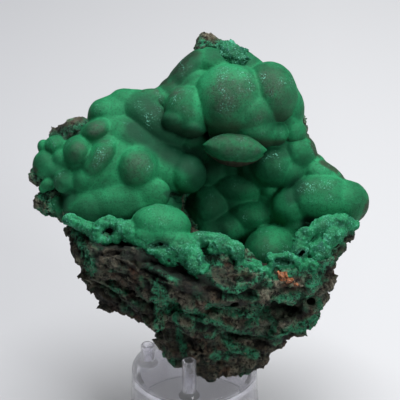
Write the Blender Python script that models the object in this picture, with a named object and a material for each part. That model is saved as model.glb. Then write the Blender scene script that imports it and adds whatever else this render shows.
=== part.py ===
"""Botryoidal malachite on its host rock, resting on a clear moulded peg stand.

The stone is laid out as lumps on its showy face. A lump is (across, up, toward, radius): across
runs to the right, up runs up the face, and toward comes out of it. The face leans back, so
FACE_LEAN turns these into the upright frame. Long lumps give three radii and a roll angle.
Lengths in the tables are millimetres. The origin is on the floor under the middle of the whole.
"""

import math

import bmesh
import bpy
from mathutils import Matrix, Vector

MM = 0.001

# Layout of the stone on its face
FACE_LEAN_DEG = 28.0
SIGHT_DISTANCE = 700.0  # lumps are set out as seen from this far in front, so near ones draw in
FACE_CENTRE = (0.2, -1.4, 97.1)  # where the middle of the face is, upright, above the floor

# Stand
STAND_CENTRE = (-2.1, -9.4)
BASE_HEIGHT = 22.0
BASE_TOP_RADIUS = 26.0
BASE_BOTTOM_RADIUS = 27.2
BASE_WALL = 2.0
RIM_RISE = 0.8
RIM_WIDTH = 1.4
PEG_CIRCLE_RADIUS = 19.9
PEG_RADIUS = 2.9
PEG_BORE_RADIUS = 1.9
PEG_BORE_FLOOR = 2.0
PEG_FOOT_RADIUS = 4.3
PEG_FOOT_HEIGHT = 2.6
PEGS = ((-96.0, 16.8), (168.0, 9.2), (35.0, 9.2))  # direction in degrees and height of each peg
ROUND_SIDES = 64
PEG_SIDES = 24

# Meshing of the stone
LUMP_DETAIL = 3
FUSE_VOXEL = 2.0
STONE_TRIANGLES = 7000
PEG_CLEARANCE = 0.35

# Malachite: the overhanging crown of large domes
CROWN = [
    (27.3, 44.7, 5, 11), (29.8, 39.5, 6, 10), (12, 38.7, 6, 14.3), (13, 31, 8, 11),
    (-5, 35, 8, 9.5), (-2.5, 38, 12, 6.5), (22, 30, 9, 7.5), (17.5, 26, 9, 7),
    (14.4, 21.2, 14, (12.6, 5.2, 8), -12), (14.4, 19.2, 12.5, (12.2, 4.6, 8), -12),
    (-3, 49.5, -3, 8), (3, 53.5, -3, 7.5), (10, 55, -4, 6), (16.5, 54, -4, 7), (-11, 38, -2, 7),
]
# Malachite: column and shoulder on the right
RIGHT = [
    (31, 25.5, 6, 5.5), (36.5, 41, -2, 3.5), (37.3, 35, -1, 4), (36.8, 28, 0, 4.8),
    (31, 14, -4, 10.5), (38, 19.5, -2, 7), (41.6, 15.3, -3, 6), (30.5, 19, 0, 7),
    (51.5, 9.6, -8, 6), (55, 6, -9, 4.5), (48, 0, 2, 10), (58.2, 1, 0, 7.9),
    (36.5, -1.5, -4, 8), (40, 5.5, -4, 6.5), (62.2, -3.8, -1, 4.9),
]
# Malachite: balls that line the hollow
LINING = [
    (29.5, 4, -10, 4), (21, -6.5, -13, 8), (31.5, -6.5, -11, 5), (9, 1.5, -18, 6.5),
    (18.5, 5.5, -16, 8.5), (24, 10, -14, 8), (7.5, -8, -17, 7.5), (13, -13, -14, 6.5),
    (27.5, -21, -2, 11), (39, -11, -4, 6), (2, 16, -18, 9), (-4, 20, -13, 10),
    (6, 8, -21, 7), (2, 0, -23, 8), (1, -6, -21, 8),
]
# Malachite: the bank of balls on the left
LEFT = [
    (-25, 12.5, 12, 8), (-36.5, 20, 8, 5), (-38.5, 15, 9, 5.5), (-41, 10, 8, 5.5),
    (-48, 19, 9, 5.3), (-43, 25.5, 6, 4.2), (-38.5, 28.5, 5, 4.2), (-58, 22.5, 0, 3.8),
    (-63, 21, -1, 2.5), (-60, 14.5, 1, 6.5), (-55, 16.5, 2.5, 5), (-62.5, 11.5, 0, 4.5),
    (-54, 7, 7, 4.6), (-61, 6, 3, 2.6), (-56, -2.5, 0, 3.8), (-42, -3, 9, 10),
    (-32, -1, 11, 9), (-19, 1.5, 10, 8.5), (-7, 10.5, -2, 8.5), (-13, 6.5, 4, 6.5),
    (-18, 20, 2, 8), (-29, 25, 4, 8.5), (-26, 36, -2, 6.2), (-21, 31.5, -1, 8),
    (-17, 26.5, -3, 7.5), (-38, 33.2, -2, 6), (-34, 36.5, -4, 4), (-30.5, 40, -6, 2.6),
    (-18, 38, -4, 6), (-9, 43, -4, 6),
]
# Malachite: rolled crust along the front lip
LIP = [
    (0, -16, 20, 4.5), (7, -17.5, 20.5, 4.4), (14, -19, 21, 4.2), (-19, -11, 19, 7.5),
    (-11, -10, 19, 8.5), (-7, -12.5, 21, 6.5), (-20, -16.5, 23, 6.5), (-13.5, -18, 24, 6.5),
    (-6.5, -20.5, 26, 5.5), (-3, -25, 26.5, 4.5), (0.5, -29, 26, 3.2), (-51, -9, 13, 3),
    (-46, -11.5, 15, 3.5), (-41, -12.5, 17, 3.6), (-36, -12.5, 18, 3.8), (-31, -11.5, 19, 3.8),
    (-26, -11.5, 19, 4.5), (61, -9.5, 8, 3.5), (56, -11, 11, 4.5), (51, -14, 14, 5),
    (46, -17.5, 16, 5.5), (41, -21.5, 17, 5.5), (38, -25.5, 17, 5), (29, -24.5, 19, 2.5),
    (33, -22.5, 18, 2.3), (37, -24, 19, 2.5), (18.5, -24, 19, 3), (22, -28, 19, 3.3),
    (27, -28.5, 20, 3),
]
# Host rock: crest, edges and everything behind the malachite
ROCK_BACK = [
    (4, 62.5, -8, 4.2), (9, 59, -9, 4.5), (39, 21, -8, 5), (-64, -1, -3, 3.2), (-66.5, 10.5, -3, 2),
    (-50, 27.5, -2, 5.5), (-44, 28.5, -3, 4), (-57, 26, -3, 3.5), (-52, 20, -6, 8),
    (-60, 3, -2, 3.5), (-58, -1, -4, 5), (-51, -5, -2, 6),
    (0, 50, -11, 8), (9, 51, -10, 9), (18, 46, -11, 10), (30, 38, -10, 9), (-10, 38, -11, 8),
    (-24, 31, -11, 9), (-38, 26, -9, 8), (33, 26, -12, 10), (5, 38, -13, 12), (-14, 26, -15, 10),
    (44, 8, -12, 9), (52, 2, -10, 8), (57, -4, -8, 6.5), (46, -8, -9, 11),
    (20, 26, -18, 11), (3, 25, -20, 11), (-20, 14, -17, 13), (-36, 12, -11, 13), (-50, 8, -7, 9),
    (34, 8, -17, 11), (16, 8, -26, 11), (-4, 6, -27, 11), (-22, -2, -17, 14), (-40, -6, -8, 13),
    (30, -9, -18, 12), (11, -11, -25, 12), (-8, -15, -22, 13),
    (43, -20, -9, 11), (24, -29, -17, 13), (5, -33, -20, 13), (-15, -33, -14, 13),
    (-32, -22, -8, 13), (40, -33, -8, 9),
    (-14.5, -14, 1, 12), (-21, -9, 0, 12.5), (-30, 0, 1, 11.5), (-23, 10, -2, 10), (-26, 18, -4, 9),
    (-38, 23, -1, 7), (-14, 3, -5, 7), (-8, -23, -2, 8.5), (28, 29, -2, 5.5),
]
# Host rock: the bowl under the lip, the belly and the foot
ROCK_FRONT = [
    (-46, -16, 2, 7), (-44, -21, 6, 7), (-36, -22, 12, 9.5), (-26, -24, 14, 11),
    (-14, -30, 15, 11), (-2, -33, 15, 11), (10, -33, 14, 11), (22, -34, 12, 10),
    (33, -32, 11, 9), (42, -29, 9, 8), (47, -24, 8, 7.5), (53, -18, 8, 6), (58, -13, 5, 4.5),
    (0, -21, 15, 6), (8, -23, 15, 6), (16, -25, 14, 6), (25, -30, 13, 6),
    (-38, -32, 1, 8), (-34, -38, -1, 6.5), (-26, -37, 2, 9.5), (-16, -40, 2, 10),
    (-6, -43, 0, 11), (6, -44, -1, 12), (18, -43, -3, 12), (30, -41, -4, 10.5),
    (41, -36, -4, 8.5), (43, -43, -7, 5.5), (38, -47, -8, 6), (30, -52, -10, 6.5),
    (-10, -52, -9, 7), (-8, -58, -12, 7.5), (2, -56, -12, 10), (12, -55, -13, 10.5),
    (22, -57, -15, 6.5), (-1, -64, -17, 6), (6, -65, -18, 6.5), (13, -64, -18, 5.5),
    (19, -62, -17, 5), (4.4, -68.8, -20, 3.2), (22, -46, -16, 9), (2, -48, -19, 10),
    (12, -52, -20, 9), (6, -60, -20, 7), (-12, -56, -22, 8), (3, -57, -25, 8), (13, -55, -26, 9),
]
# The hollow in the middle of the face
HOLLOW = [
    (14, 3, 0, (18, 15, 18)), (17, -4, -6, (16, 13, 15)), (22, -10, 8, (18, 9, 14)),
    (0, 0, -4, (10, 8, 14)), (26, 2, 14, (14, 12, 14)), (4, 14, 0, (14, 9, 16)),
]

FACE_TO_UPRIGHT = Matrix.Rotation(math.radians(90.0 - FACE_LEAN_DEG), 4, "X")


def clear_scene():
    for old in list(bpy.data.objects):
        bpy.data.objects.remove(old)


def make_material(name, colour, roughness, **inputs):
    material = bpy.data.materials.new(name)
    material.use_nodes = True
    shader = material.node_tree.nodes["Principled BSDF"]
    shader.inputs["Base Color"].default_value = (*colour, 1.0)
    shader.inputs["Roughness"].default_value = roughness
    shader.inputs["Metallic"].default_value = 0.0
    for socket, value in inputs.items():
        shader.inputs[socket.replace("_", " ")].default_value = value
    return material


def lump_matrix(across, up, toward, radius, roll=0.0):
    """Places a unit ball on the stone: sized, rolled, drawn in with nearness, and leant back."""
    draw_in = 1.0 - toward / SIGHT_DISTANCE
    radii = Vector(radius) if isinstance(radius, tuple) else Vector((radius, radius, radius))
    place = Vector((across * draw_in, up * draw_in, toward))
    upright = Matrix.Translation(FACE_CENTRE) @ FACE_TO_UPRIGHT
    turn = Matrix.Rotation(math.radians(roll), 4, "Z")
    size = Matrix.Diagonal((*(radii * draw_in), 1.0))
    return Matrix.Scale(MM, 4) @ upright @ Matrix.Translation(place) @ turn @ size


def lump_object(name, lumps):
    """One object that holds every lump of a region as a ball of its own."""
    shape = bmesh.new()
    for lump in lumps:
        bmesh.ops.create_icosphere(
            shape, subdivisions=LUMP_DETAIL, radius=1.0, matrix=lump_matrix(*lump)
        )
    return object_from(shape, name)


def object_from(shape, name):
    mesh = bpy.data.meshes.new(name)
    shape.to_mesh(mesh)
    shape.free()
    made = bpy.data.objects.new(name, mesh)
    bpy.context.scene.collection.objects.link(made)
    return made


def apply_modifiers(made):
    evaluated = made.evaluated_get(bpy.context.evaluated_depsgraph_get())
    mesh = bpy.data.meshes.new_from_object(evaluated)
    made.modifiers.clear()
    made.data = mesh


def fuse(made, voxel):
    """Grows the balls of an object together into one skin."""
    remesh = made.modifiers.new("fuse", "REMESH")
    remesh.mode = "VOXEL"
    remesh.voxel_size = voxel * MM
    apply_modifiers(made)


def boolean(made, cutter, operation):
    step = made.modifiers.new(operation.lower(), "BOOLEAN")
    step.object = cutter
    step.operation = operation
    step.solver = "EXACT"
    apply_modifiers(made)
    bpy.data.objects.remove(cutter)


def keep_outer_skin(made):
    """Deletes sealed pockets and crumbs: only the largest connected skin stays."""
    shape = bmesh.new()
    shape.from_mesh(made.data)
    unseen = set(shape.verts)
    largest = set()
    while unseen:
        island = {unseen.pop()}
        edge_of_island = list(island)
        while edge_of_island:
            corner = edge_of_island.pop()
            for edge in corner.link_edges:
                other = edge.other_vert(corner)
                if other in unseen:
                    unseen.discard(other)
                    island.add(other)
                    edge_of_island.append(other)
        if len(island) > len(largest):
            largest = island
    crumbs = [corner for corner in shape.verts if corner not in largest]
    bmesh.ops.delete(shape, geom=crumbs, context="VERTS")
    shape.to_mesh(made.data)
    shape.free()


def thin_out(made, triangles):
    """Brings the skin down to about this many triangles."""
    made.data.calc_loop_triangles()
    thin = made.modifiers.new("thin_out", "DECIMATE")
    thin.ratio = triangles / len(made.data.loop_triangles)
    thin.use_collapse_triangulate = True
    apply_modifiers(made)


def turned_body(name, profile, sides):
    """A closed solid turned from a profile of (radius, height) points, in millimetres."""
    shape = bmesh.new()
    corners = [shape.verts.new((radius * MM, 0.0, height * MM)) for radius, height in profile]
    edges = [shape.edges.new(pair) for pair in zip(corners, corners[1:] + corners[:1])]
    bmesh.ops.spin(
        shape, geom=corners + edges, cent=(0.0, 0.0, 0.0), axis=(0.0, 0.0, 1.0),
        angle=math.tau, steps=sides, use_merge=True, use_duplicate=False,
    )
    bmesh.ops.remove_doubles(shape, verts=shape.verts, dist=0.001 * MM)
    bmesh.ops.recalc_face_normals(shape, faces=shape.faces)
    return object_from(shape, name)


def move(made, x, y):
    made.data.transform(Matrix.Translation((x * MM, y * MM, 0.0)))


def peg_place(direction_deg):
    turn = math.radians(direction_deg)
    return (
        STAND_CENTRE[0] + PEG_CIRCLE_RADIUS * math.cos(turn),
        STAND_CENTRE[1] + PEG_CIRCLE_RADIUS * math.sin(turn),
    )


def peg_profile(height):
    """A hollow peg: an open bore from the top, and a flared foot sunk into the disc."""
    sunk = BASE_HEIGHT - BASE_WALL * 0.5
    top = BASE_HEIGHT + height
    return [
        (0.0, sunk), (PEG_FOOT_RADIUS, sunk), (PEG_FOOT_RADIUS, BASE_HEIGHT + 0.6),
        (PEG_FOOT_RADIUS - 0.9, BASE_HEIGHT + 1.6), (PEG_RADIUS, BASE_HEIGHT + PEG_FOOT_HEIGHT),
        (PEG_RADIUS, top - 0.4), (PEG_RADIUS - 0.4, top), (PEG_BORE_RADIUS, top),
        (PEG_BORE_RADIUS, BASE_HEIGHT + PEG_BORE_FLOOR), (0.0, BASE_HEIGHT + PEG_BORE_FLOOR),
    ]


def base_profile():
    """An open cup turned upside down, with a small raised rim round its top."""
    inner_top = BASE_HEIGHT - BASE_WALL
    return [
        (0.0, BASE_HEIGHT), (0.0, inner_top), (BASE_TOP_RADIUS - BASE_WALL - 1.5, inner_top),
        (BASE_TOP_RADIUS - BASE_WALL, inner_top - 1.5), (BASE_BOTTOM_RADIUS - BASE_WALL, 0.0),
        (BASE_BOTTOM_RADIUS, 0.0), (BASE_TOP_RADIUS, BASE_HEIGHT - 0.6),
        (BASE_TOP_RADIUS, BASE_HEIGHT + RIM_RISE - 0.4),
        (BASE_TOP_RADIUS - 0.4, BASE_HEIGHT + RIM_RISE),
        (BASE_TOP_RADIUS - RIM_WIDTH, BASE_HEIGHT + RIM_RISE),
        (BASE_TOP_RADIUS - RIM_WIDTH - 0.6, BASE_HEIGHT),
    ]


def shade(made, material, sharp_deg):
    made.data.materials.clear()
    made.data.materials.append(material)
    made.data.shade_smooth()
    made.data.set_sharp_from_angle(angle=math.radians(sharp_deg))


def make_stand():
    """Base cup and pegs, moulded as one clear piece."""
    stand = turned_body("peg_stand", base_profile(), ROUND_SIDES)
    move(stand, *STAND_CENTRE)
    for direction, height in PEGS:
        peg = turned_body("peg", peg_profile(height), PEG_SIDES)
        move(peg, *peg_place(direction))
        boolean(stand, peg, "UNION")
    clear = make_material(
        "clear_plastic", (0.93, 0.92, 0.97), 0.06, Transmission_Weight=1.0, IOR=1.49
    )
    shade(stand, clear, 35.0)
    return stand


def peg_room(direction, height):
    """The space a peg takes, with clearance, to be kept free of stone."""
    radius = PEG_RADIUS + PEG_CLEARANCE
    top = BASE_HEIGHT + height + PEG_CLEARANCE
    room = turned_body("peg_room", [(0.0, 0.0), (radius, 0.0), (radius, top), (0.0, top)], PEG_SIDES)
    move(room, *peg_place(direction))
    return room


def make_stone():
    """Rock lumps fused, hollowed, covered with malachite balls and fused again."""
    stone = lump_object("malachite_specimen", ROCK_BACK + ROCK_FRONT)
    fuse(stone, FUSE_VOXEL)
    hollow = lump_object("hollow", HOLLOW)
    fuse(hollow, FUSE_VOXEL)
    boolean(stone, hollow, "DIFFERENCE")
    malachite = lump_object("malachite", CROWN + RIGHT + LINING + LEFT + LIP)
    fuse(malachite, FUSE_VOXEL)
    boolean(stone, malachite, "UNION")
    fuse(stone, FUSE_VOXEL)
    keep_outer_skin(stone)
    thin_out(stone, STONE_TRIANGLES)
    for direction, height in PEGS:
        boolean(stone, peg_room(direction, height), "DIFFERENCE")
    green = make_material("malachite_and_rock", (0.02, 0.16, 0.07), 0.6)
    shade(stone, green, 50.0)
    return stone


clear_scene()
make_stand()
make_stone()
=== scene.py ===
import itertools
import math

import bmesh
import bpy
import numpy as np
from mathutils import Matrix, Vector


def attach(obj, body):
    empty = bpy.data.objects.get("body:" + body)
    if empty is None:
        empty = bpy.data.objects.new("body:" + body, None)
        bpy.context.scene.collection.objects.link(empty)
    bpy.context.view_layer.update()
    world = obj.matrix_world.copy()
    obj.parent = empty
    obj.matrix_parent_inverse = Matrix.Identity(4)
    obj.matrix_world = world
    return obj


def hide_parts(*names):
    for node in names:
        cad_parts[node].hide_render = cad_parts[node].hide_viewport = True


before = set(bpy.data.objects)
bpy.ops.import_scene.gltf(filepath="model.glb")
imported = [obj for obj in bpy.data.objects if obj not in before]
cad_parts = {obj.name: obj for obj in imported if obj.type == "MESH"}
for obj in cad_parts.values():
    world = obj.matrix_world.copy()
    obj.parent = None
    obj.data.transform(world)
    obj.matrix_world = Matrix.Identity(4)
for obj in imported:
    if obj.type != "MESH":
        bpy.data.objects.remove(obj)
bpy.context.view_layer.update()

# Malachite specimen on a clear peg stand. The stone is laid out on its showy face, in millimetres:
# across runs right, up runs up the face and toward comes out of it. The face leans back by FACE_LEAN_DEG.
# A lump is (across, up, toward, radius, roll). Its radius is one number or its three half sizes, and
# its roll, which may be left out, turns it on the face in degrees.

MM = 0.001

# Layout of the stone on its face
FACE_LEAN_DEG = 28.0
SIGHT_DISTANCE = 700.0  # lumps are set out as seen from this far in front, so near ones draw in
FACE_CENTRE = (0.2, -1.4, 97.1)
FACE_TURN = Matrix.Rotation(math.radians(90.0 - FACE_LEAN_DEG), 4, "X")
FACE_TO_UPRIGHT = Matrix.Translation(FACE_CENTRE) @ FACE_TURN

# Stand
STAND_CENTRE = (-2.1, -9.4)
BASE_HEIGHT = 22.0
BASE_TOP_RADIUS = 26.0
BASE_BOTTOM_RADIUS = 27.2
BASE_WALL = 2.0
RIM_RISE = 0.8
RIM_WIDTH = 1.4
RIM_STEP = 0.6
PEG_CIRCLE_RADIUS = 19.9
PEG_RADIUS = 2.9
PEG_BORE_RADIUS = 1.9
PEG_BORE_FLOOR = 2.0
PEG_FOOT_RADIUS = 4.3
PEG_FOOT_HEIGHT = 2.6
PEG_FOOT_STEP = 0.6
PEG_FLARE_RADIUS = 3.4
PEG_FLARE_HEIGHT = 1.6
PEGS = ((-96.0, 16.8), (168.0, 9.2), (35.0, 9.2))  # direction in degrees and height of each peg
EDGE_BREAK = 0.4  # how far the moulding's sharp edges are taken off
INNER_FILLET = 1.5
BASE_SIDES = 128
PEG_SIDES = 40
MOULDED_EDGE_DEG = 35.0  # edges sharper than this are shown as edges
CRYSTAL_EDGE_DEG = 30.0

# View and room
FRAME_WIDTH = 160.0  # what the view takes in across the face
SENSOR_WIDTH = 36.0
NEAREST_SEEN = 0.01
FLOOR_HALF = 4.0
LIT_SPOT = (0.0, 0.0, 0.09)
SOFTBOXES = (  # name, place, side and power of each square softbox
    ("top_softbox", (0.1, 0.1, 1.0), 0.7, 15.0),
    ("right_softbox", (0.8, -0.85, 0.8), 0.45, 8.0),
)
ROOM_LIGHT = (0.93, 0.95, 1.0, 1.0)
ROOM_STRENGTH = 0.08

# Mesh fineness
LUMP_DETAIL = 4
COARSE_LUMP_DETAIL = 3
LEAF_DETAIL = 6
ROCK_VOXEL = 0.55
FINE_ROCK_VOXEL = 0.5
BALL_VOXEL = 0.55
LIP_VOXEL = 0.42
LEAF_VOXEL = 0.3
CAVE_VOXEL = 0.7
COARSE_VOXEL = 1.5
MOST_TRIANGLES = 150000  # what thinning a piece aims at; it can stop up to a quarter above

CAP_CUT = 0.6  # how much of a lump's half depth is below the foot of its dome


def dome(across, up, foot, radius, height, roll=0.0):
    """A low dome standing on a sheet: the lump of which it is the cap."""
    wide, tall = radius
    deep = height / (1.0 - CAP_CUT)
    widen = 1.0 / math.sqrt(1.0 - CAP_CUT**2)
    return (across, up, foot - CAP_CUT * deep, (wide * widen, tall * widen, deep), roll)


# Malachite: the overhanging crown of large domes, the shelf behind it and the column on its right
CROWN = [
    (12.6, 39.8, 2, (15.4, 14.6, 17)), (19.8, 35.2, 1.6, (11.6, 11, 15)),
    (28.4, 42.6, 0.2, (10.6, 12.8, 15.2), 14), (-4.8, 35.6, 1.4, (9.6, 10.4, 12.6)),
    (-9.4, 32, 3.4, (6.4, 4.8, 9.4), 12), (-3.4, 29.2, 2.8, (6, 4.2, 10), -14), (5, 44, 3, (7, 7, 9)),
    (21, 28.4, 1.6, (11, 8, 11.4), -12), (12, 30, 0, (10, 7, 12)), (30.4, 26.6, 2.4, (4.8, 4.8, 6.4)),
    (5, 54.2, -6, (8, 6.6, 8.6)), (-4.6, 50, -8, (14.2, 6.2, 10.6), 49), (-10, 43, -7, (7, 6.4, 9)),
    (8, 49, -7, 10), (18.4, 49, -7, 9.2), (18, 55.4, -7, (4.2, 4.2, 6)), (-14, 39, -7, (8, 6.6, 9)),
    (-2, 45, -4, (9, 6, 10), 40), (37.4, 37.4, -2, (4.2, 8.4, 7), 6), (35.6, 31, -1, 5.2),
    (37.8, 27, -1.5, (4.8, 5.4, 6.4)), (33, 34, -4, 7),
]
# Malachite: the broken, fibrous end of the shelf
BROKEN = [
    (13, 57.4, -5, (6.6, 4.8, 6.6)), (9.4, 60.4, -6, (3.8, 3.2, 5)), (16.4, 54.8, -3.4, (3.8, 4.2, 5)),
    (12.4, 53.8, -3, (3.4, 2.6, 4.4)),
]
# Malachite: the bank of domes on the left, the hollow's lining and the shoulder on the right
BASIN = [
    (-32, 10, -7, (27, 23, 19.5)), (-31, -1.4, -2, (24, 11.6, 16)), (-14, 12, -5, (11.4, 12, 14.4)),
    (-3, 21, -8, (8, 8, 10)), (-27.4, 22.4, -3.4, (15.6, 10, 13.4), -38),
    (-19.6, 31, -10, (17.4, 10.6, 16.4), -38), (-12, 26, -8, (9, 9, 12)),
    dome(-25, 12.4, 12.2, (7.8, 7.8), 5.8), dome(-39.6, 16, 10.6, (9.2, 4.9), 5.6, 54),
    dome(-45.2, 8, 8.6, (6.4, 4.8), 4, 12), dome(-48, 19, 7.6, (5.6, 5.6), 6.4),
    dome(-41, 27, 5, (6.4, 4.3), 5.6, 28), (-54, 7.2, 6, 4.8), (-60.4, 6.2, 2.6, (3.2, 2.6, 2.8)),
    (-62.8, 4.6, 1.6, 1.8), (-61.4, 14, -1, (5.4, 6, 6.2)), (-55, 16, 0.6, (4.8, 5, 6)),
    (-57, 11.6, -2, (7, 6, 8)), (-57.6, 22, 0, (4.4, 4, 5)), (-62.6, 21.4, -1.6, (2.4, 2.8, 3)),
    dome(-43, -3.2, 10.2, (8, 6.4), 2.6), dome(-30.4, -1.4, 12.8, (8.4, 6.8), 2),
    dome(-20, 2.4, 12.6, (6.6, 5.4), 1.4), dome(-5.6, 10.6, 6.4, (6.6, 6.6), 4.8),
    (-50.6, -2, 3, (4, 6.4, 6.4)), (-34, -9, 6, (15, 3, 6)), dome(-18.8, 39.2, -0.4, (6.6, 4.4), 2.2),
    dome(-38.8, 35, 1.4, (5, 4.4), 3, 20), dome(-30.8, 39.6, -1, (5, 4), 2.6, 20),
    (-35, 33, -6, (11, 8.6, 10), 35), (-57, -1.4, 0, 3.4), (-55, -4.6, 0.6, (2.6, 3, 3)), (-9, 42, -6, 6.5),
    (17, 2, -25, (18, 13, 16)), (20, -9, -21, (15, 11, 13)), (30, 0, -18, (10, 12, 12)),
    (4, -4, -24, (11, 13, 15)), (4, 14, -22, (12, 12, 13)), (16, 16, -20, (14, 10, 12)),
    (7, -14, -15, (9, 9, 9)), (38, -14, -8, (8, 9, 10)), dome(20.8, -6.4, -8.6, (8.6, 5.6), 4.6),
    dome(16, 4.6, -10.2, (9.8, 5.4), 4.4), dome(28.2, 4, -7.8, (4.4, 3.2), 3.4),
    dome(31.4, -5.6, -6.6, (3.8, 6), 3.8), dome(11.2, -11, -9, (6.4, 5.4), 4.4),
    dome(4, -2.4, -10.4, (6.4, 7), 3.8), (28.8, -21, -4, (11.4, 11, 12.4)),
    (29.4, 14.4, -7, (10, 9.4, 13.6)), (39, 18.6, -7, (7.6, 8.6, 12.2), 16),
    dome(22.6, 13.4, -5.4, (6, 5.6), 3), dome(35.6, 25.6, -1, (4, 3), 2), (36, 11.6, -8, (8, 8, 12)),
    (30, 21, -5, 8), (27, 11, -14, (9, 9, 11)), dome(46.6, 12, -2.2, (3.4, 5), 2.4),
    (47.6, 10.4, -5, (9.4, 5.6, 8), -24), (52.6, 8.6, -5, (6, 4, 6.4), -30),
    (48, 0.4, -3, (13.6, 10.4, 13.4)), (58.2, -1, -4, (9.4, 9.2, 12)), (37.4, -2.4, -5, (8.4, 8.8, 10.8)),
    (38, -3, -6, (9, 9, 10)), dome(38.8, -10.4, -0.6, (5, 4.4), 3.4), (52, -7, -2, (9, 6.4, 9)),
]
# Malachite: rolled, sugary crust along the front lip
LIP = [
    (-50, -8.6, 10.4, (4.6, 2.6, 3.6), -12), (-44.6, -11, 12.6, (4.6, 2.4, 3.6), -28),
    (-40.6, -13.4, 14.8, (3, 4.4, 3.6)), (-37.6, -9.4, 14.8, (4.6, 2.2, 3.6), 10),
    (-33, -10, 16.4, (3.2, 2.6, 4)), (-33.2, -14.2, 17, (2.4, 4, 3.6), -20),
    (-37.6, -16.4, 16, (4.2, 1.8, 3.2), 6), (-28.6, -12.4, 18.4, (4, 4.2, 4.4)),
    (-15.6, -10, 16.2, (12.2, 8.2, 10.6), -6), (-21, -14.4, 19.6, (7.4, 4.6, 6), 12),
    (-13.6, -14.8, 20.6, (8, 4.2, 6), -14), (-20.8, -18.6, 20.4, (5.4, 2.8, 4.4), -30),
    (-14.6, -22, 21.4, (5, 2.8, 4), -42), (-15.6, -17.8, 19, (10.6, 5.4, 6), -16),
    (-11, -20.4, 20.4, (6, 4.6, 5), -40), (-6.4, -19.6, 21.8, (7.4, 5.6, 5.6), -46),
    (-2.4, -24.4, 23, (6, 4.8, 4.8), -50), (0.4, -29, 23.6, (2.6, 3, 2.8), -50),
    (1.6, -15.8, 19.4, (6.6, 3.2, 4.4), -6), (8.4, -17.6, 19.8, (6, 3.6, 4.6), -14),
    (14, -20, 19.8, (3.6, 3.8, 4), -30), (6, -20.8, 21, (3.4, 1.6, 2.4), -20),
    (15.8, -24, 19.6, (1.6, 3.4, 2.2)), (21.8, -27, 18.2, (3.4, 3, 3.2)), (25.5, -29.5, 18.6, 2.4),
    (18.6, -25.6, 18.8, (2.6, 1.6, 2)), (28.2, -25.4, 18, (1.2, 3.6, 2.2)),
    (31.6, -22.4, 17.6, (3.6, 1.2, 2), 4), (36, -23.4, 17.2, (3.4, 1.2, 2), -28),
    (39.4, -26, 16.8, (1.3, 2.8, 2), 25), (33.6, -26.2, 16.2, (5, 3, 2)),
    (42, -14, 13.6, (4.6, 2.8, 3.8), 35), (48, -10.6, 13, (5, 2.8, 4), 30),
    (50.4, -14.4, 11, (10, 6, 4), 38), (54.6, -8.6, 10.6, (5, 2.6, 3.8), 12), (60, -10, 8, (3.6, 2.6, 3.4)),
    (52, -14.6, 12.2, (6, 4.4, 4), 30), (47.8, -20.4, 13.6, (4.6, 5.2, 4), 20),
    (40, -19.6, 14.6, (3.2, 5.6, 4)), (43.6, -26, 14.4, (5, 2.4, 3.2)),
]
# Holes through the crust
HOLES = [
    (41, -21, 18, (1.2, 0.9, 7)), (40, -22, 18, (1.2, 0.7, 7)), (-36.6, -12.8, 18, (1.3, 1, 6)),
    (-37.8, -13.2, 18, (0.9, 0.7, 6)), (-35.6, -12.2, 18, (0.9, 1, 6)), (5.4, -23.4, 24, (2.6, 1.3, 6)),
    (3, -23.8, 24, (1.4, 1, 6)), (7.8, -22.8, 24, (1.6, 1.2, 6)), (-18.2, -18.2, 26, (1.5, 0.7, 5), 8),
    (-15.8, -17.8, 26, (1.6, 0.8, 5), -8), (32.6, -24.6, 19, (1.6, 0.8, 3)),
    (34.8, -24.9, 19, (1.4, 0.7, 3)),
]
# Hole in the bank, under the dome at its right end
BANK_HOLES = [
    (-9.6, 1.6, 5, (3.6, 1.4, 10), -14), (-6, 0.6, 4, (3.8, 1.6, 10), -6), (-2.4, 0, 2, (2.8, 1.6, 10)),
    (-7.6, 0, 6, (2.4, 1.4, 9), 8),
]
# Rusty crystals caught in the rock below the lip
RUSTY = [
    (32.2, -29.8, 19.6, 1.1), (33.4, -30.6, 19.8, 1.4), (34.6, -31.6, 19.6, 1.2), (36, -32.4, 19.2, 1.1),
    (37.6, -33.2, 18.4, 1), (34, -29.6, 19.6, 0.8), (38.6, -33.8, 17.8, 0.7), (33, -32, 19.4, 0.8),
]
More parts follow.
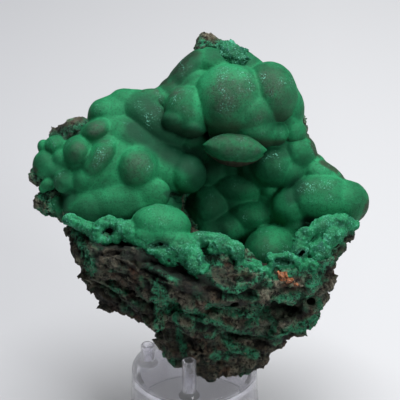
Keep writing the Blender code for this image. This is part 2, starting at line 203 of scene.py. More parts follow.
# Host rock: crest, edges and everything behind the malachite
ROCK_BACK = [
    (2.4, 63.2, -7, 3.4), (1.2, 59.4, -6.4, 4.2), (6.4, 60.4, -7.6, 4.6), (38, 20.4, -9, 4),
    (-63.4, -1, -3, 3.2), (-64.5, 10.5, -4, 3), (-60, -3.2, -1, 4), (-47, 29.6, -4, 2.8),
    (-55, 27.4, -4, 2.8), (-50, 26.5, -2, 4.8), (-44, 27.8, -3, 3.6), (-57, 25.4, -3, 2.8),
    (-52, 20, -6, 8), (-60, 3, -2, 3.5), (-58, -1, -4, 5), (-51, -5, -2, 6), (0, 50, -11, 8),
    (9, 51, -10, 9), (18, 46, -11, 10), (30, 38, -10, 9), (-10, 38, -11, 8), (-24, 31, -11, 9),
    (-38, 26, -9, 8), (33, 26, -12, 10), (5, 38, -13, 12), (-14, 26, -15, 10), (44, 8, -12, 9),
    (52, 2, -10, 8), (57, -4, -8, 6.5), (46, -8, -9, 11), (20, 26, -18, 11), (3, 25, -20, 11),
    (-20, 14, -17, 13), (-36, 12, -11, 13), (-50, 8, -7, 9), (34, 8, -17, 11), (16, 8, -26, 11),
    (-4, 6, -27, 11), (-22, -2, -17, 14), (-40, -6, -8, 13), (30, -9, -18, 12), (11, -11, -25, 12),
    (-8, -15, -22, 13), (43, -20, -9, 11), (24, -29, -17, 13), (5, -33, -20, 13), (-15, -33, -14, 13),
    (-32, -22, -8, 13), (40, -33, -8, 9), (-14.5, -14, 1, 12), (-21, -9, 0, 12.5), (-30, 0, 1, 11.5),
    (-23, 10, -2, 10), (-26, 18, -4, 9), (-38, 23, -1, 7), (-14, 3, -5, 7), (-8, -23, -2, 8.5),
    (28, 29, -2, 5.5), (-33, 12, -16, (21, 17, 14)), (-20, 27, -16, (12, 9, 11)),
    (17, 2, -30, (17, 12, 14)), (34, 21, -14, (7.6, 9, 8)), (49, 0, -12, (11.4, 8, 8)),
    (56, -2, -10, (6, 6, 7)), (27, 41, -9, (8, 10, 9)), (16, 46, -12, (11, 9, 8)),
    (-10, 38, -12, (8, 7, 7)),
]
# Host rock: the bowl under the lip, the belly and the foot
ROCK_FRONT = [
    (-45, -16, 2, 6.4), (-43.6, -21, 6, 7), (-36, -22, 12, 9.5), (-26, -24, 14, 11), (-14, -30, 15, 11),
    (-2, -33, 15, 11), (10, -33, 14, 11), (22, -34, 12, 10), (33, -32, 11, 9), (42, -29, 9, 8),
    (47, -24, 8, 7.5), (52.4, -18, 8, 6), (57.6, -12.8, 5, 4.2), (0, -21, 15, 6), (8, -23, 15, 6),
    (16, -25, 14, 6), (25, -30, 13, 6), (-38, -31.6, 1, 8), (-34, -38, -1, 6.4), (-26, -37, 2, 9.5),
    (-16, -40, 2, 10), (-6, -43, 0, 11), (6, -44, -1, 12), (18, -43, -3, 12), (30, -41, -4, 10.5),
    (41, -36, -4, 8.5), (43, -43, -7, 5.5), (38, -47, -8, 6), (30, -52, -10, 6.5), (-10, -52, -9, 6),
    (-8, -58, -12, 6.4), (2, -56, -12, 10), (12, -55, -13, 10.5), (22, -57, -15, 6.5), (-1, -64, -17, 6),
    (6, -65, -18, 6.5), (13, -64, -18, 5.5), (19, -62, -17, 5), (4.4, -68.8, -20, 3.2),
    (17, -66.4, -18, 4.6), (22, -46, -16, 9), (2, -48, -19, 10), (12, -52, -20, 9), (6, -60, -20, 7),
    (-9, -55, -22, 7), (3, -57, -25, 8), (13, -55, -26, 9), (46, -31, 4, 7.6), (43.6, -38, -2, 7.8),
    (42, -44.6, -6, 5.8), (36.6, -49, -9, 6.2), (29, -54, -11, 6.6), (-52.4, -12, 3, 2.4),
    (-46, -28, 2, 3.4), (-24, -47, 0, 3), (-14.6, -54, -8, 3.6), (-8.6, -63, -14, 3.6),
    (34.6, -54, -10, 2.6), (22, -60, -15, 7), (-35, -38, -1, 6.4), (-27, -37.8, 2, 9.8),
    (-17, -41.6, 2, 10.2),
]
# The hollow in the middle of the face
HOLLOW = [
    (14, 3, 0, (18, 15, 18)), (17, -4, -6, (16, 13, 15)), (22, -10, 8, (18, 9, 14)),
    (0, 0, -4, (10, 8, 14)), (26, 2, 14, (14, 12, 14)), (4, 14, 0, (14, 9, 16)),
]
# The shaded depth of the hollow
DEEP_HOLLOW = [(3, 8, -8, (13, 13, 16)), (14, 12, -8, (15, 9, 14)), (10, -4, -10, (12, 9, 12))]

# Dusty, worn places on the malachite: reach, the run they follow as (across, up), and how dusty
DUSTY_PLACES = [
    (13, [(11, 42), (16, 37), (18, 33)], 1.0), (10, [(27, 46), (30, 38)], 0.9),
    (7, [(10, 28), (22, 26)], 0.5), (6, [(8, 20), (20, 18.5)], 0.8), (8, [(-9, 33), (-4, 30)], 0.6),
    (7, [(-8, 54), (-11, 46)], 1.2), (5.4, [(-41, 28), (-39.4, 26.6)], 1.0),
    (5.4, [(-48, 19.4), (-48, 18.4)], 0.9), (5, [(-37, 18), (-42, 11)], 0.6),
    (7.4, [(-25.4, 13.6), (-25, 10)], 0.75), (6, [(-19, 41), (-17, 37)], 0.9),
    (5, [(-41, -3), (-39, -4)], 0.25), (6, [(-22, 30), (-16, 26)], 0.35), (5, [(-4, -24), (-2, -27)], 0.5),
    (5, [(-12, 31.6), (-2, 28)], 0.8), (6, [(20, 38), (22, 32)], 0.8), (7, [(8, 22), (18, 20)], 0.8),
    (6, [(-12, 54), (-9, 48)], 1.3), (5, [(-15.4, -18), (-11, -19)], 0.8), (5, [(6, -17), (14, -21)], 0.7),
]
# Thin brown edges where the crust ends against the rock: reach and run
EDGES = [
    (4.4, [(-13, 49), (-12, 52), (-8, 56.4), (-3, 60)]), (1.2, [(-24, 43.6), (-19, 45.4), (-13, 48)]),
    (1.2, [(42.6, 27), (45.8, 20), (47.8, 15.6)]), (1.6, [(49, 15), (54, 12.4), (57.6, 9.6)]),
    (1.4, [(66, 1), (67, -3), (65, -8)]), (1.6, [(-66, 12), (-67, 9)]),
]
# Painted shade on the malachite, a darker green where shade falls: reach, run and how dark
PAINTED_SHADE_PLACES = [
    (10, [(-23, 36), (-12, 23)], 0.75), (6, [(-1, 17), (0, 8)], 0.7), (6, [(-46, -4), (-28, -3)], 0.5),
    (6, [(-12, 28), (-1, 27)], 0.6), (5, [(33, 31), (29, 31)], 0.4), (9, [(26, 15), (36, 12)], 0.25),
    (11, [(7, 12), (8, -6)], 0.6), (9, [(12, 6), (18, 14)], 0.6), (5, [(20, 16), (34, 20)], 0.6),
    (5, [(37, 2), (39, 6)], 0.8), (4, [(43, -9), (52, -11.4)], 1.0), (5, [(-28, 26), (-12, 32)], 0.6),
    (6, [(-26, 28), (-12, 21), (-2, 15)], 0.85), (7, [(-18, 24), (-8, 17), (0, 13)], 0.85),
    (5, [(6, 2), (8, -12)], 0.7), (5, [(5, 60), (20, 57)], 0.5), (7, [(-10, 50), (-4, 56)], 0.55),
    (3, [(-11, 0), (-4, -1), (0, -3.4)], 0.6), (3.4, [(-54, -6.6), (-30, -8.2)], 0.75),
    (5, [(-62, 16), (-54, 8)], 0.4), (4, [(-55, -1), (-52, 2)], 0.7), (6, [(-12, 50), (-6, 56)], 0.5),
]
# Painted light on the malachite, bands of brighter green: reach, run and how bright
PAINTED_LIGHT_PLACES = [
    (4.6, [(3, 29), (0.8, 32), (0.6, 37), (1.2, 44), (4.8, 49.4), (10.4, 52.2), (16, 50.6)], 0.9),
    (6, [(-19, 10), (-14, 11)], 0.5), (4, [(-33, 24), (-28, 20)], 0.5), (6, [(44, -3), (56, -4)], 0.7),
    (4, [(46, 13), (52, 10)], 0.5), (4, [(-52, -8), (-36, -10)], 0.6), (4, [(-4, -20), (2, -28)], 0.7),
    (5, [(28, 2), (31, -5)], 0.9), (5, [(34, 31), (36, 23)], 0.6), (4, [(30, -2), (40, -7)], 0.5),
    (5, [(-36, 35), (-26, 38)], 0.6), (5, [(-10, 14), (-9, 8)], 0.6), (9, [(-20, -8), (-12, -10)], 0.6),
]
# Caves, slits and undercuts in the rock
CAVES = [
    (-10.6, -27.4, 27, (15, 2.8, 7), -24), (-18, -25, 27, (7, 2.2, 7), -18),
    (33, -45, 5, (9.4, 3.6, 12), 3), (11.6, -41.2, 13, (5.4, 1.5, 8)), (4.4, -23, 26, (4, 2.2, 5)),
    (27, -50.6, 2, (2, 1.4, 6)), (19.5, -54.4, -2, (11, 1.6, 7), -8), (44.4, -40.6, 3, (1.6, 1.7, 5)),
    (-32, -17.5, 19, (8, 1.7, 6)),
]
# Ledges in the rock, with an undercut below each: reach, run and height
LEDGES = [
    (2.6, [(2, -31), (9, -35.5), (14, -36.4), (20, -33.6), (25, -31)], 1.0),
    (3, [(-5, -43), (2, -47), (9, -50.4), (16, -53)], 1.0),
    (2.6, [(16, -53), (25, -53.6), (30, -55), (36, -50.4)], 0.9),
    (3, [(-20, -27), (-14, -31), (-8, -34.4), (-2, -36)], 0.9), (3, [(26, -38), (36, -39), (44, -36)], 0.9),
    (2.6, [(-38, -24), (-28, -30), (-20, -38)], 0.8), (2.6, [(-44, -30), (-34, -35), (-24, -44)], 0.8),
    (2.6, [(6, -39.6), (14, -41), (22, -39)], 0.8), (2.4, [(28, -34), (40, -33)], 0.7),
    (2.6, [(-12, -46), (-4, -53), (0, -60)], 0.8), (2.6, [(8, -58), (16, -60), (24, -60)], 0.7),
]
# Painted shade and painted light on the rock, as darker and paler places: reach, run and strength
PAINTED_SHADE_ROCK_PLACES = [
    (4, [(-56, 26), (-50, 27)], 0.6), (4, [(-8, -33), (2, -37)], 0.7), (5, [(-34, -21), (-20, -27)], 0.6),
    (5, [(-42, -38), (-28, -43)], 0.6), (5, [(-26, -35), (-21, -44)], 0.6),
    (4, [(-14, -24), (0, -31)], 0.5), (4, [(-19, -22), (-11, -25)], 0.8), (5, [(-12, -56), (-8, -62)], 0.5),
    (4, [(18, -52), (28, -52)], 0.5),
]
# Painted light on the rock: the paler places.
PAINTED_LIGHT_ROCK_PLACES = [
    (9, [(-66, 6), (-56, -5)], 1.0), (6, [(-44, -32), (-30, -36)], 0.8), (5, [(-9, -41), (-1, -44)], 0.7),
    (6, [(6, -44), (14, -46), (26, -46)], 0.9), (8, [(26, -35), (46, -39)], 1.0),
    (7, [(10, -52), (26, -52), (34, -48)], 0.9), (4, [(2, -36), (6, -40)], 0.6),
]
# Green film on the rock: reach and run
FILM = [
    (2.2, [(-60, 24), (-52, 28), (-44, 29)]), (3.4, [(1, 62), (6, 60)]),
    (3.6, [(-66, 5), (-60, 0), (-56, -4)]), (4, [(-58, -2), (-60, -6)]),
    (1.6, [(2, -31), (9, -35.5), (14, -36.4), (20, -33.6), (25, -31)]),
    (2.2, [(-5, -43), (2, -47), (9, -50.4), (16, -53), (25, -53.6)]),
    (2.2, [(25, -53.6), (30, -55), (36, -50.4), (43, -48.8), (49, -46.4)]),
    (1.8, [(19, -50.4), (23, -47.2), (27, -46.4), (30, -49.6), (28, -53)]),
    (2.8, [(-21, -26.4), (-15, -29.6), (-9, -32)]), (2.4, [(-19, -30), (-17.6, -40), (-16, -50)]),
    (2.2, [(-15, -34), (-12.8, -44)]), (2.6, [(-14, -40), (-6, -45), (2, -49)]),
    (3, [(10.4, -55), (13, -58), (16, -60), (21.6, -62)]), (2, [(13, -60.6), (10.4, -63)]),
    (2, [(28, -31), (40, -29)]), (3, [(41, -25), (47, -30), (51, -25)]), (2, [(47, -40), (49, -46)]),
    (2.4, [(-48, -10), (-40, -18)]), (2.6, [(-50, -12), (-46, -20), (-43, -28)]),
    (3, [(4, -42), (14, -45), (24, -46)]), (2.4, [(10, -38), (22, -38)]), (2.6, [(30, -40), (44, -38)]),
    (2.6, [(44, -34), (50, -28)]), (2.2, [(30, -57), (36, -53), (42, -50)]), (2, [(-34, -36), (-30, -37)]),
    (2, [(3, -23), (8, -26)]), (2, [(-10, -45), (-8, -56), (-6, -62)]), (1.8, [(20, -42), (27, -44)]),
]

# The leaf-shaped shell that hangs under the crown: place, half sizes and roll
LEAF = (13.8, 21, 11)
LEAF_HALF = (13.2, 5.8, 6.4)
LEAF_ROLL_DEG = -5.0
LEAF_RISE = 3.0  # counted as standing this far above its creases
# The brown body it overhangs
UNDER_LEAF = (13.8, 18.8, 7.6)
UNDER_LEAF_HALF = (12.4, 5.6, 7.4)
# The smooth dome in the sugary lip: its reach and run
SMOOTH_LIP = (11.0, [(-20, -8.6), (-9, -10)])

# Broken surfaces, as layers of (height, cell, seed)
SKIN_SWELLS = ((0.30, 10.0, 3), (0.14, 3.6, 5), (0.05, 1.5, 8))
LEAF_SWELLS = ((0.30, 6.0, 3), (0.14, 2.2, 5))
ROCK_CHIPS = ((1.5, 8.6, 45), (0.9, 4.2, 46), (0.7, 2.0, 47))

# How uneven the walls of holes and caves are, and how far creases are filled
HOLE_RAGGED = 0.6
CAVE_RAGGED = 1.2
CROWN_BLEND = 0.3
BASIN_BLEND = 0.35
SUGARY_BLEND = 0.5

# Ledges in the rock
FRONT_DEPTHS = (-22.0, -12.0)  # the rock's ledges, film and shade fade out between these
LEDGE_SPACING = 8.6
LEDGE_DIP = 0.3
LEDGE_HEIGHT = 2.6
UNDERCUT_SHIFT = (0.6, -3.4)

# Noise and the working of points
RNG = np.random.default_rng(7)
SPOTS = 1024
CHUNK = 20000  # points worked on at a time
SETTLING_ROUNDS = 4
CREASE_REACH = 1.0
FAR = 1e9
BURIED_STEPS = 10
BURIED_FACTOR = 4.0  # how much sooner a buried triangle is taken out
GRADIENTS = RNG.normal(size=(SPOTS, 3))
GRADIENTS /= np.linalg.norm(GRADIENTS, axis=1, keepdims=True)
SITES = RNG.random((SPOTS, 4))
PRIMES = (73856093, 19349663, 83492791, 2654435761)


# ---------------------------------------------------------------- fields in space

def spot_index(spots, seed):
    """A repeatable number below SPOTS for each whole-numbered spot in space."""
    mixed = np.zeros(len(spots), np.int64)
    for axis in range(3):
        mixed ^= spots[:, axis] * PRIMES[axis]
    mixed ^= seed * PRIMES[3]
    mixed ^= mixed >> 13
    return mixed & (SPOTS - 1)


def swell(points, cell, seed=0):
    """Smooth noise from about -1 to 1, with swells about one cell apart."""
    place = points / cell + 0.37 * seed
    base = np.floor(place).astype(np.int64)
    part = place - base
    fade = part**3 * (part * (part * 6.0 - 15.0) + 10.0)
    total = np.zeros(len(points))
    for corner in itertools.product((0, 1), repeat=3):
        step = np.array(corner)
        gradient = GRADIENTS[spot_index(base + step, seed)]
        weight = np.where(step, fade, 1.0 - fade).prod(axis=1)
        total += weight * ((part - step) * gradient).sum(axis=1)
    return total * 1.6


def layered(points, cell, octaves, seed=0):
    """Swells on swells, each layer half the size of the last."""
    total = np.zeros(len(points))
    for layer in range(octaves):
        total += 0.5**layer * swell(points, cell / 2**layer, seed + layer)
    return total


def ridged(points, cell, octaves, seed=0):
    """Sharp crests between rounded dips, from 0 to about 1."""
    total = np.zeros(len(points))
    for layer in range(octaves):
        total += 0.5**layer * (1.0 - np.abs(swell(points, cell / 2**layer, seed + layer)))
    return total / (2.0 - 0.5 ** (octaves - 1))


def pits(points, cell, share, seed=0):
    """Rounded pits: 1 at a pit's middle, 0 outside. A share of the cells holds one."""
    place = points / cell
    base = np.floor(place).astype(np.int64)
    deepest = np.zeros(len(points))
    for shift in itertools.product((-1, 0, 1), repeat=3):
        spots = base + np.array(shift)
        site = SITES[spot_index(spots, seed)]
        gap = np.linalg.norm(spots + site[:, :3] - place, axis=1)
        reach = 0.35 + 0.4 * np.abs(site[:, 3] * 7.3 % 1.0)
        pit = np.clip(1.0 - gap / reach, 0.0, 1.0)
        deepest = np.maximum(deepest, np.where(site[:, 3] < share, pit, 0.0))
    return deepest


def ease(value, low, high):
    """0 below low, 1 above high, and smooth between."""
    part = np.clip((value - low) / (high - low), 0.0, 1.0)
    return part * part * (3.0 - 2.0 * part)


def chipped(points, cell, seed):
    """Angular facets, each cell tilted its own way, as in broken rock."""
    place = points / cell
    base = np.floor(place).astype(np.int64)
    closest = np.full(len(points), FAR)
    height = np.zeros(len(points))
    for shift in itertools.product((-1, 0, 1), repeat=3):
        spots = base + np.array(shift)
        index = spot_index(spots, seed)
        away = place - (spots + SITES[index, :3])
        gap = (away**2).sum(axis=1)
        tilt = (away * GRADIENTS[index]).sum(axis=1) + 0.5 * (SITES[index, 3] - 0.5)
        height = np.where(gap < closest, tilt, height)
        closest = np.minimum(closest, gap)
    return height


def add_layers(points, field, layers):
    """The sum of a field's layers, each given as (height, cell, seed)."""
    return sum(height * field(points, cell, seed) for height, cell, seed in layers)


# ---------------------------------------------------------------- lumps

def lump_matrix(across, up, toward, radius, roll=0.0):
    """Places a unit ball on the stone, in millimetres: sized, rolled, drawn in with nearness, leant back."""
    draw_in = 1.0 - toward / SIGHT_DISTANCE
    radii = Vector(radius) if isinstance(radius, tuple) else Vector((radius, radius, radius))
    place = Vector((across * draw_in, up * draw_in, toward))
    turn = Matrix.Rotation(math.radians(roll), 4, "Z")
    size = Matrix.Diagonal((*(radii * draw_in), 1.0))
    return FACE_TO_UPRIGHT @ Matrix.Translation(place) @ turn @ size


def lump_gaps(points, lumps):
    """How far each point is outside each lump, and the direction straight out of it."""
    gaps = []
    ways = []
    for lump in lumps:
        back = np.array(lump_matrix(*lump).inverted())
        size = min(lump[3]) if isinstance(lump[3], tuple) else lump[3]
        local = points @ back[:3, :3].T + back[:3, 3]
        reach = np.linalg.norm(local, axis=1)
        gaps.append((reach - 1.0) * size)
        ways.append(local @ back[:3, :3] / reach[:, None] * size)
    return np.array(gaps), np.array(ways)


def nearest_gap(points, lumps):
    """How far each point is outside the nearest lump."""
    return lump_gaps(points, lumps)[0].min(axis=0)


def settle_on_skin(points, lumps, blend):
    """Draws points onto the lumps' common skin, which fills the creases between lumps by about blend.

    Also gives how near each point is to a crease, and how far it stands above its creases.
    """
    settled = points.copy()
    crease = np.zeros(len(points))
    rise = np.zeros(len(points))
    for start in range(0, len(points), CHUNK):
        part = slice(start, start + CHUNK)
        for _ in range(SETTLING_ROUNDS):
            gaps, ways = lump_gaps(settled[part], lumps)
            lowest = gaps.min(axis=0)
            share = np.exp(-(gaps - lowest) / blend)
            total = share.sum(axis=0)
            gap = lowest - blend * np.log(total)
            way = (ways * (share / total)[:, :, None]).sum(axis=0)
            step = np.clip(gap, -1.0, 1.0) / np.maximum((way**2).sum(axis=1), 0.2)
            settled[part] -= way * step[:, None]
        near = np.partition(gaps, 1, axis=0)
        crease[part] = np.exp(-np.maximum(near[1] - near[0], 0.0) / CREASE_REACH)
        rise[part] = near[1] - near[0]
    return settled, crease, rise


def face_places(points):
    """Across, up and toward of each point on the face."""
    back = np.array(FACE_TO_UPRIGHT.inverted())
    local = points @ back[:3, :3].T + back[:3, 3]
    draw_in = 1.0 - local[:, 2:3] / SIGHT_DISTANCE
    return np.hstack([local[:, :2] / draw_in, local[:, 2:3]])


def spread(face, places):
    """How strongly each point is marked, from a table of (reach, run, strength)."""
    marked = np.zeros(len(face))
    for reach, run, strength in places:
        marked = np.maximum(marked, strength * near_run(face, run, reach))
    return marked


def near_any(face, runs):
    """How near each point is to any of the (reach, run) rows."""
    return spread(face, [(reach, run, 1.0) for reach, run in runs])


def near_run(face, run, width):
    """1 along a run of (across, up) points on the face, easing to 0 at its width."""
    closest = np.full(len(face), FAR)
    for first, last in zip(run, run[1:]):
        first, last = np.array(first), np.array(last)
        along = last - first
        part = np.clip((face[:, :2] - first) @ along / (along @ along), 0.0, 1.0)
        away = np.linalg.norm(face[:, :2] - first - part[:, None] * along, axis=1)
        closest = np.minimum(closest, away)
    return 1.0 - ease(closest, 0.4 * width, width)


# ---------------------------------------------------------------- objects

def object_from(shape, name):
    mesh = bpy.data.meshes.new(name)
    shape.to_mesh(mesh)
    shape.free()
    made = bpy.data.objects.new(name, mesh)
    bpy.context.scene.collection.objects.link(made)
    return made


def lump_object(name, lumps, detail=LUMP_DETAIL):
    shape = bmesh.new()
    for lump in lumps:
        place = Matrix.Scale(MM, 4) @ lump_matrix(*lump)
        bmesh.ops.create_icosphere(shape, subdivisions=detail, radius=1.0, matrix=place)
    return object_from(shape, name)


def apply_modifiers(made):
    evaluated = made.evaluated_get(bpy.context.evaluated_depsgraph_get())
    mesh = bpy.data.meshes.new_from_object(evaluated)
    made.modifiers.clear()
    made.data = mesh


def fuse(made, voxel):
    """Grows the balls of an object together into one skin."""
    remesh = made.modifiers.new("fuse", "REMESH")
    remesh.mode = "VOXEL"
    remesh.voxel_size = voxel * MM
    apply_modifiers(made)


def boolean(made, cutter, operation):
    step = made.modifiers.new(operation.lower(), "BOOLEAN")
    step.object = cutter
    step.operation = operation
    step.solver = "EXACT"
    apply_modifiers(made)
    bpy.data.objects.remove(cutter)


def read_points(made):
    """Places of a mesh's points, in millimetres."""
    points = np.zeros(len(made.data.vertices) * 3, np.float32)
    made.data.vertices.foreach_get("co", points)
    return points.reshape(-1, 3).astype(float) / MM


def read_normals(made):
    normals = np.zeros(len(made.data.vertices) * 3, np.float32)
    made.data.vertex_normals.foreach_get("vector", normals)
    return normals.reshape(-1, 3).astype(float)


def write_points(made, points):
    made.data.vertices.foreach_set("co", (points * MM).astype(np.float32).ravel())
    made.data.update()


def store(made, name, values):
    layer = made.data.attributes.new(name, "FLOAT", "POINT")
    layer.data.foreach_set("value", np.clip(values, 0.0, 1.0).astype(np.float32))


def thin_hidden(made, buried):
    """Takes triangles out, the buried ones first, until the piece is small enough."""
    triangles = sum(len(polygon.vertices) - 2 for polygon in made.data.polygons)
    if triangles <= MOST_TRIANGLES:
        return
    group = made.vertex_groups.new(name="buried")
    for step in range(1, BURIED_STEPS + 1):
        chosen = np.nonzero(np.round(np.clip(buried, 0.0, 1.0) * BURIED_STEPS) == step)[0]
        group.add(chosen.tolist(), step / BURIED_STEPS, "REPLACE")
    thin = made.modifiers.new("thin", "DECIMATE")
    thin.ratio = MOST_TRIANGLES / triangles
    thin.vertex_group = group.name
    thin.vertex_group_factor = BURIED_FACTOR
    apply_modifiers(made)
    made.vertex_groups.clear()


# ---------------------------------------------------------------- node trees

def new_material(name):
    material = bpy.data.materials.new(name)
    material.use_nodes = True
    tree = material.node_tree
    return material, tree, tree.nodes["Principled BSDF"]


def add(tree, kind, inputs=None, **settings):
    made = tree.nodes.new("ShaderNode" + kind)
    for key, value in settings.items():
        setattr(made, key, value)
    for key, value in (inputs or {}).items():
        if isinstance(value, bpy.types.NodeSocket):
            tree.links.new(value, made.inputs[key])
        else:
            made.inputs[key].default_value = value
    return made


def attribute(tree, name):
    return add(tree, "Attribute", attribute_name=name).outputs["Fac"]


def blend_colour(tree, share, first, second):
    mix = tree.nodes.new("ShaderNodeMix")
    mix.data_type = "RGBA"
    for socket, value in ((mix.inputs[0], share), (mix.inputs[6], first), (mix.inputs[7], second)):
        if isinstance(value, bpy.types.NodeSocket):
            tree.links.new(value, socket)
        else:
            socket.default_value = (*value, 1.0) if isinstance(value, tuple) else value
    return mix.outputs[2]


def ramp(tree, value, low, high):
    """0 below low, 1 above high."""
    step = add(tree, "MapRange", {"Value": value, "From Min": low, "From Max": high}, clamp=True)
    return step.outputs["Result"]


def times(tree, first, second):
    return add(tree, "Math", {0: first, 1: second}, operation="MULTIPLY").outputs[0]


def noise(tree, place, scale, detail=4.0, roughness=0.55):
    made = add(tree, "TexNoise", {"Vector": place, "Scale": scale, "Detail": detail, "Roughness": roughness})
    return made.outputs["Fac"]


def patches(tree, place, scale, low, high, detail=4.0, roughness=0.55):
    """1 in patches, 0 between them."""
    return ramp(tree, noise(tree, place, scale, detail, roughness), low, high)


def grain(tree, shader, height, strength, depth):
    """Fine grain, too small to model."""
    bump = add(tree, "Bump", {"Height": height, "Strength": strength, "Distance": depth})
    tree.links.new(bump.outputs["Normal"], shader.inputs["Normal"])


def set_surface(shader, roughness, shine):
    shader.inputs["Roughness"].default_value = roughness
    shader.inputs["Specular IOR Level"].default_value = shine


# ---------------------------------------------------------------- finishes

DEEP_GREEN = (0.008, 0.105, 0.042)
FULL_GREEN = (0.012, 0.205, 0.078)
# the creases' own brighter green, which also carries painted light along the bright places
CREASE_AND_PAINTED_LIGHT_GREEN = (0.020, 0.260, 0.105)
DUSTY_GREEN = (0.044, 0.088, 0.056)
DARK_SPECK = (0.012, 0.022, 0.014)
# darkest green: random pores, and painted shade in the hollow, pits, holes and shaded places
PORE_AND_SHADE_GREEN = (0.004, 0.040, 0.020)
MINT = (0.14, 0.46, 0.34)
# dark brown: the leaf's brown body and the crust's edges, and painted shade under the crown's overhang
BROWN_AND_UNDERSIDE_SHADE = (0.027, 0.026, 0.017)
ROCK_DARK = (0.012, 0.012, 0.009)
ROCK_OLIVE = (0.130, 0.106, 0.066)
ROCK_MOSS = (0.026, 0.090, 0.056)
# painted highlight, in tan, on the rock's crests and paler places
ROCK_PAINTED_HIGHLIGHT = (0.30, 0.28, 0.20)
# near black: random cracks, and painted shade in the rock's pits, undercuts and caves
ROCK_CRACK_AND_SHADE = (0.004, 0.005, 0.004)
RUST = (0.105, 0.040, 0.020)
RUST_BRIGHT = (0.36, 0.125, 0.04)
FILM_GREEN = (0.022, 0.27, 0.125)
FILM_PALE = (0.15, 0.54, 0.35)
SUGAR_PALE = (0.075, 0.36, 0.235)
SUGAR_TEAL = (0.014, 0.085, 0.065)
CLEAR_VIOLET = (0.91, 0.90, 0.96)
# painted shade: the floor is darker on the left
FLOOR_PAINTED_SHADE = (0.32, 0.325, 0.345)
FLOOR_BRIGHT = (0.44, 0.445, 0.46)
FLOOR_GLOW = (0.97, 0.98, 1.0)


def malachite_finish():
    """Velvety green: deep on the flanks, bright in the creases, dusty and flecked on the tops; painted light
    makes some bands brighter and painted shade darkens hollows, pits, holes and overhangs.
    """
    material, tree, shader = new_material("malachite")
    place = add(tree, "TexCoord").outputs["Object"]
    fine = noise(tree, place, 1500.0, 5.0, 0.75)
    mottle = noise(tree, place, 420.0, 4.0, 0.65)
    dust = attribute(tree, "dust")
    colour = blend_colour(tree, patches(tree, place, 120.0, 0.35, 0.68), DEEP_GREEN, FULL_GREEN)
    colour = blend_colour(tree, times(tree, ramp(tree, mottle, 0.46, 0.66), 0.55), colour, DEEP_GREEN)
    # Creases get their brighter green; the same mark carries painted light along the bright places.
    colour = blend_colour(tree, attribute(tree, "crease"), colour, CREASE_AND_PAINTED_LIGHT_GREEN)
    colour = blend_colour(tree, times(tree, dust, ramp(tree, mottle, 0.22, 0.55)), colour, DUSTY_GREEN)
    dark_speck = times(tree, dust, patches(tree, place, 1700.0, 0.56, 0.68, 3.0, 0.6))
    colour = blend_colour(tree, dark_speck, colour, DARK_SPECK)
    pores = times(tree, patches(tree, place, 1200.0, 0.5, 0.64, 5.0, 0.75), 0.55)
    colour = blend_colour(tree, pores, colour, PORE_AND_SHADE_GREEN)
    # Dark brown: the leaf's brown body and the crust's edges, and painted shade under the crown's overhang.
    colour = blend_colour(tree, attribute(tree, "brown"), colour, BROWN_AND_UNDERSIDE_SHADE)
    # Painted shade: a darker green in the hollow, in sugary pits, in holes and along the shaded places.
    colour = blend_colour(tree, attribute(tree, "deep"), colour, PORE_AND_SHADE_GREEN)
    sugar = attribute(tree, "sugar")
    crystal = noise(tree, place, 330.0, 5.0, 0.7)
    colour = blend_colour(tree, times(tree, sugar, ramp(tree, crystal, 0.53, 0.62)), colour, SUGAR_PALE)
    colour = blend_colour(tree, times(tree, sugar, ramp(tree, crystal, 0.49, 0.41)), colour, SUGAR_TEAL)
    fleck = times(tree, patches(tree, place, 1500.0, 0.575, 0.64, 3.0), attribute(tree, "druse"))
    colour = blend_colour(tree, fleck, colour, MINT)
    tree.links.new(colour, shader.inputs["Base Color"])
    set_surface(shader, 0.6, 0.16)
    grain(tree, shader, fine, 0.7, 0.0005)
    return material


def rock_finish():
    """Dark olive-brown rock, with painted highlight in tan on its crests and painted shade, near black, in
    its pits, undercuts and caves, and with patches of green film and rust.
    """
    material, tree, shader = new_material("host_rock")
    place = add(tree, "TexCoord").outputs["Object"]
    fine = noise(tree, place, 1300.0, 6.0, 0.8)
    colour = blend_colour(tree, patches(tree, place, 260.0, 0.38, 0.64, 6.0, 0.7), ROCK_DARK, ROCK_OLIVE)
    rusty = times(tree, patches(tree, place, 95.0, 0.52, 0.64, 5.0, 0.6), 0.8)
    colour = blend_colour(tree, rusty, colour, RUST)
    mossy = times(tree, patches(tree, place, 150.0, 0.46, 0.62, 5.0, 0.65), 0.6)
    colour = blend_colour(tree, mossy, colour, ROCK_MOSS)
    # Painted highlight: tan on the raised crests and in the paler places.
    tan = times(tree, attribute(tree, "crest"), ramp(tree, fine, 0.35, 0.6))
    colour = blend_colour(tree, tan, colour, ROCK_PAINTED_HIGHLIGHT)
    stain = times(tree, attribute(tree, "film"), patches(tree, place, 420.0, 0.34, 0.52, 6.0, 0.75))
    film = blend_colour(tree, ramp(tree, fine, 0.52, 0.66), FILM_GREEN, FILM_PALE)
    colour = blend_colour(tree, stain, colour, film)
    cracks = times(tree, patches(tree, place, 620.0, 0.51, 0.57, 6.0, 0.75), 0.95)
    colour = blend_colour(tree, cracks, colour, ROCK_CRACK_AND_SHADE)
    # Painted shade: near black in pits, undercuts, caves and the darker places.
    colour = blend_colour(tree, attribute(tree, "pit"), colour, ROCK_CRACK_AND_SHADE)
    tree.links.new(colour, shader.inputs["Base Color"])
    set_surface(shader, 0.68, 0.35)
    grain(tree, shader, fine, 1.0, 0.0017)
    return material


def rusty_finish():
    """Orange-brown iron crystals."""
    material, tree, shader = new_material("rusty_crystals")
    place = add(tree, "TexCoord").outputs["Object"]
    colour = blend_colour(tree, patches(tree, place, 1200.0, 0.35, 0.65), RUST, RUST_BRIGHT)
    tree.links.new(colour, shader.inputs["Base Color"])
    shader.inputs["Roughness"].default_value = 0.6
    return material


